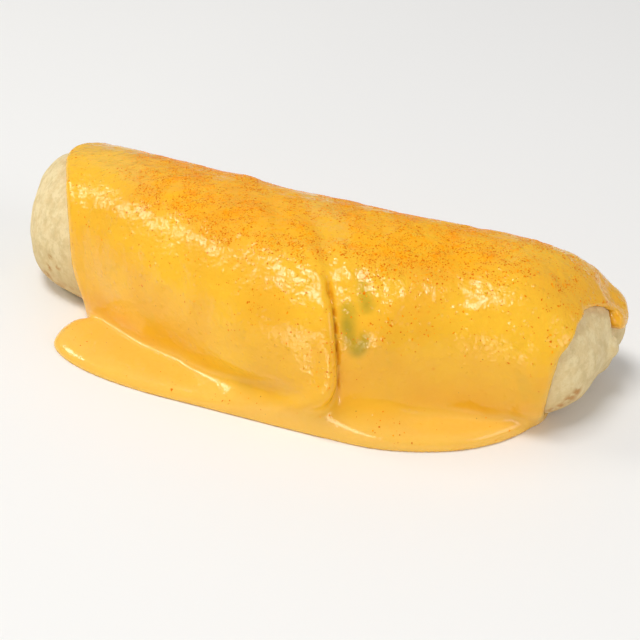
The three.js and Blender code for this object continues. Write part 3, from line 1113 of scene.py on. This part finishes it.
class BURRITO_OT_paprika(bpy.types.Operator):
    """Dust the top with flakes of paprika"""

    bl_idname = "burrito.paprika"
    bl_label = "Paprika"

    def execute(self, context):
        paprika = context.scene.burrito_paprika
        sauce = bpy.data.objects["cheese_sauce_pour"].data
        count = len(sauce.vertices)
        points, normals = np.empty((2, count, 3))
        sauce.vertices.foreach_get("co", points.ravel())
        sauce.vertices.foreach_get("normal", normals.ravel())
        weight = dusting(points, covered(points)) ** CLUMPING + STRAY
        weight *= np.clip(normals[:, 2], 0, 1)
        weight[points[:, 2] < LOW] *= LOW_SHARE
        random = np.random.default_rng(77)
        chosen = random.choice(count, paprika.flakes, replace=False, p=weight / weight.sum())
        ups = normals[chosen]
        shift = random.uniform(-0.5, 0.5, (paprika.flakes, 3)) * pitch()
        spots = points[chosen] + shift - (shift * ups).sum(axis=1, keepdims=True) * ups
        verts, faces = [], []
        for spot, up in zip(spots, ups):
            size = paprika.size * min(random.lognormal(0, FLAKE_SPREAD), FLAKE_LARGEST)
            corners, sides = flake(spot, up, size, random, len(verts))
            verts += corners
            faces += sides
        verts, faces = np.array(verts), np.array(faces)
        material = paprika_material(paprika)
        add_mesh("paprika_flakes", verts, faces, [], material, smooth=False)
        return {"FINISHED"}


def flake(spot, up, size, random, first):
    """Thin chip of five or six corners, half sunk in the surface."""
    side = np.cross(up, [0.3, 0.9, 0.1])
    side /= np.linalg.norm(side)
    other = np.cross(up, side)
    corners = int(random.integers(5, 7))
    turns = (np.arange(corners) + random.uniform(-0.3, 0.3, corners)) / corners * 2 * math.pi
    reach = size / 2 * random.uniform(0.6, 1.2, corners)
    long = random.uniform(0.9, 1.6)
    spin = np.exp(1j * random.uniform(0, math.pi))
    flat = (reach * np.cos(turns) * long + 1j * reach * np.sin(turns)) * spin
    rim = spot + flat.real[:, None] * side + flat.imag[:, None] * other
    verts = [*(rim - FLAKE_SUNK * up), spot + FLAKE_THICK * up, spot - FLAKE_THICK * up]
    top, bottom = first + corners, first + corners + 1
    edges = [(first + a, first + (a + 1) % corners) for a in range(corners)]
    return verts, [face for a, b in edges for face in ((a, b, top), (b, a, bottom))]


class BURRITO_OT_stage(bpy.types.Operator):
    """Set up the floor, the lights and the camera"""

    bl_idname = "burrito.stage"
    bl_label = "Stage"

    def execute(self, context):
        stage = context.scene.burrito_stage
        add_floor(stage)
        add_camera(context.scene, stage)
        for row in LIGHTS:
            add_light(*row)
        context.scene.world = studio_light()
        context.scene.view_settings.view_transform = "Standard"
        return {"FINISHED"}


def add_floor(stage):
    mesh = bpy.data.meshes.new("floor")
    reach = FLOOR_REACH
    corners = [(-reach, -reach, 0), (reach, -reach, 0), (reach, reach, 0), (-reach, reach, 0)]
    mesh.from_pydata(corners, [], [(0, 1, 2, 3)])
    mesh.materials.append(floor_material(stage.floor))
    floor = add_object("floor", mesh)


def add_camera(scene, stage):
    lens = bpy.data.cameras.new("camera")
    lens.lens = stage.lens
    lens.sensor_width = 36
    lens.clip_start = 0.01
    camera = add_object("camera", lens)
    aim = Vector(stage.target) - Vector(stage.camera)
    turn = aim.to_track_quat("-Z", "Y").to_matrix().to_4x4()
    lean = Matrix.Rotation(stage.roll, 4, "Z")
    camera.matrix_world = Matrix.Translation(stage.camera) @ turn @ lean
    scene.camera = camera


def add_light(name, place, wide, deep, power, tint=(1, 1, 1)):
    """Soft box that looks at the middle of the burrito."""
    lamp = bpy.data.lights.new(name, "AREA")
    lamp.shape = "RECTANGLE"
    lamp.size = wide
    lamp.size_y = deep
    lamp.energy = power
    lamp.color = tint
    light = add_object(name, lamp)
    light.location = place
    light.rotation_euler = (-Vector(place)).to_track_quat("-Z", "Y").to_euler()


# ---- Add-on ----


class VIEW3D_PT_burrito(bpy.types.Panel):
    """Sidebar panel with every step and the main settings"""

    bl_label = "Burrito"
    bl_idname = "VIEW3D_PT_burrito"
    bl_space_type = "VIEW_3D"
    bl_region_type = "UI"
    bl_category = "Burrito"

    def draw(self, context):
        for operator in OPERATORS:
            self.layout.operator(operator.bl_idname)
        for name in SETTINGS:
            box = self.layout.box()
            group = getattr(context.scene, name)
            for prop in group.bl_rna.properties:
                if prop.identifier not in ("rna_type", "name"):
                    box.prop(group, prop.identifier)


OPERATORS = (
    BURRITO_OT_stage,
    BURRITO_OT_tortillas,
    BURRITO_OT_filling,
    BURRITO_OT_chiles,
    BURRITO_OT_sauce,
    BURRITO_OT_paprika,
)
SETTINGS = {
    "burrito_roll": RollSettings,
    "burrito_sauce": SauceSettings,
    "burrito_paprika": PaprikaSettings,
    "burrito_tortilla": TortillaSettings,
    "burrito_chile": ChileSettings,
    "burrito_stage": StageSettings,
}
CLASSES = (*SETTINGS.values(), *OPERATORS, VIEW3D_PT_burrito)


def register():
    for each in CLASSES:
        bpy.utils.register_class(each)
    for name, group in SETTINGS.items():
        setattr(bpy.types.Scene, name, PointerProperty(type=group))


def unregister():
    for name in SETTINGS:
        delattr(bpy.types.Scene, name)
    for each in reversed(CLASSES):
        bpy.utils.unregister_class(each)


def main():
    register()
    bpy.ops.burrito.stage()
    bpy.ops.burrito.tortillas()
    bpy.ops.burrito.filling()
    bpy.ops.burrito.chiles()
    bpy.ops.burrito.sauce()
    bpy.ops.burrito.paprika()


if __name__ == "__main__":
    main()
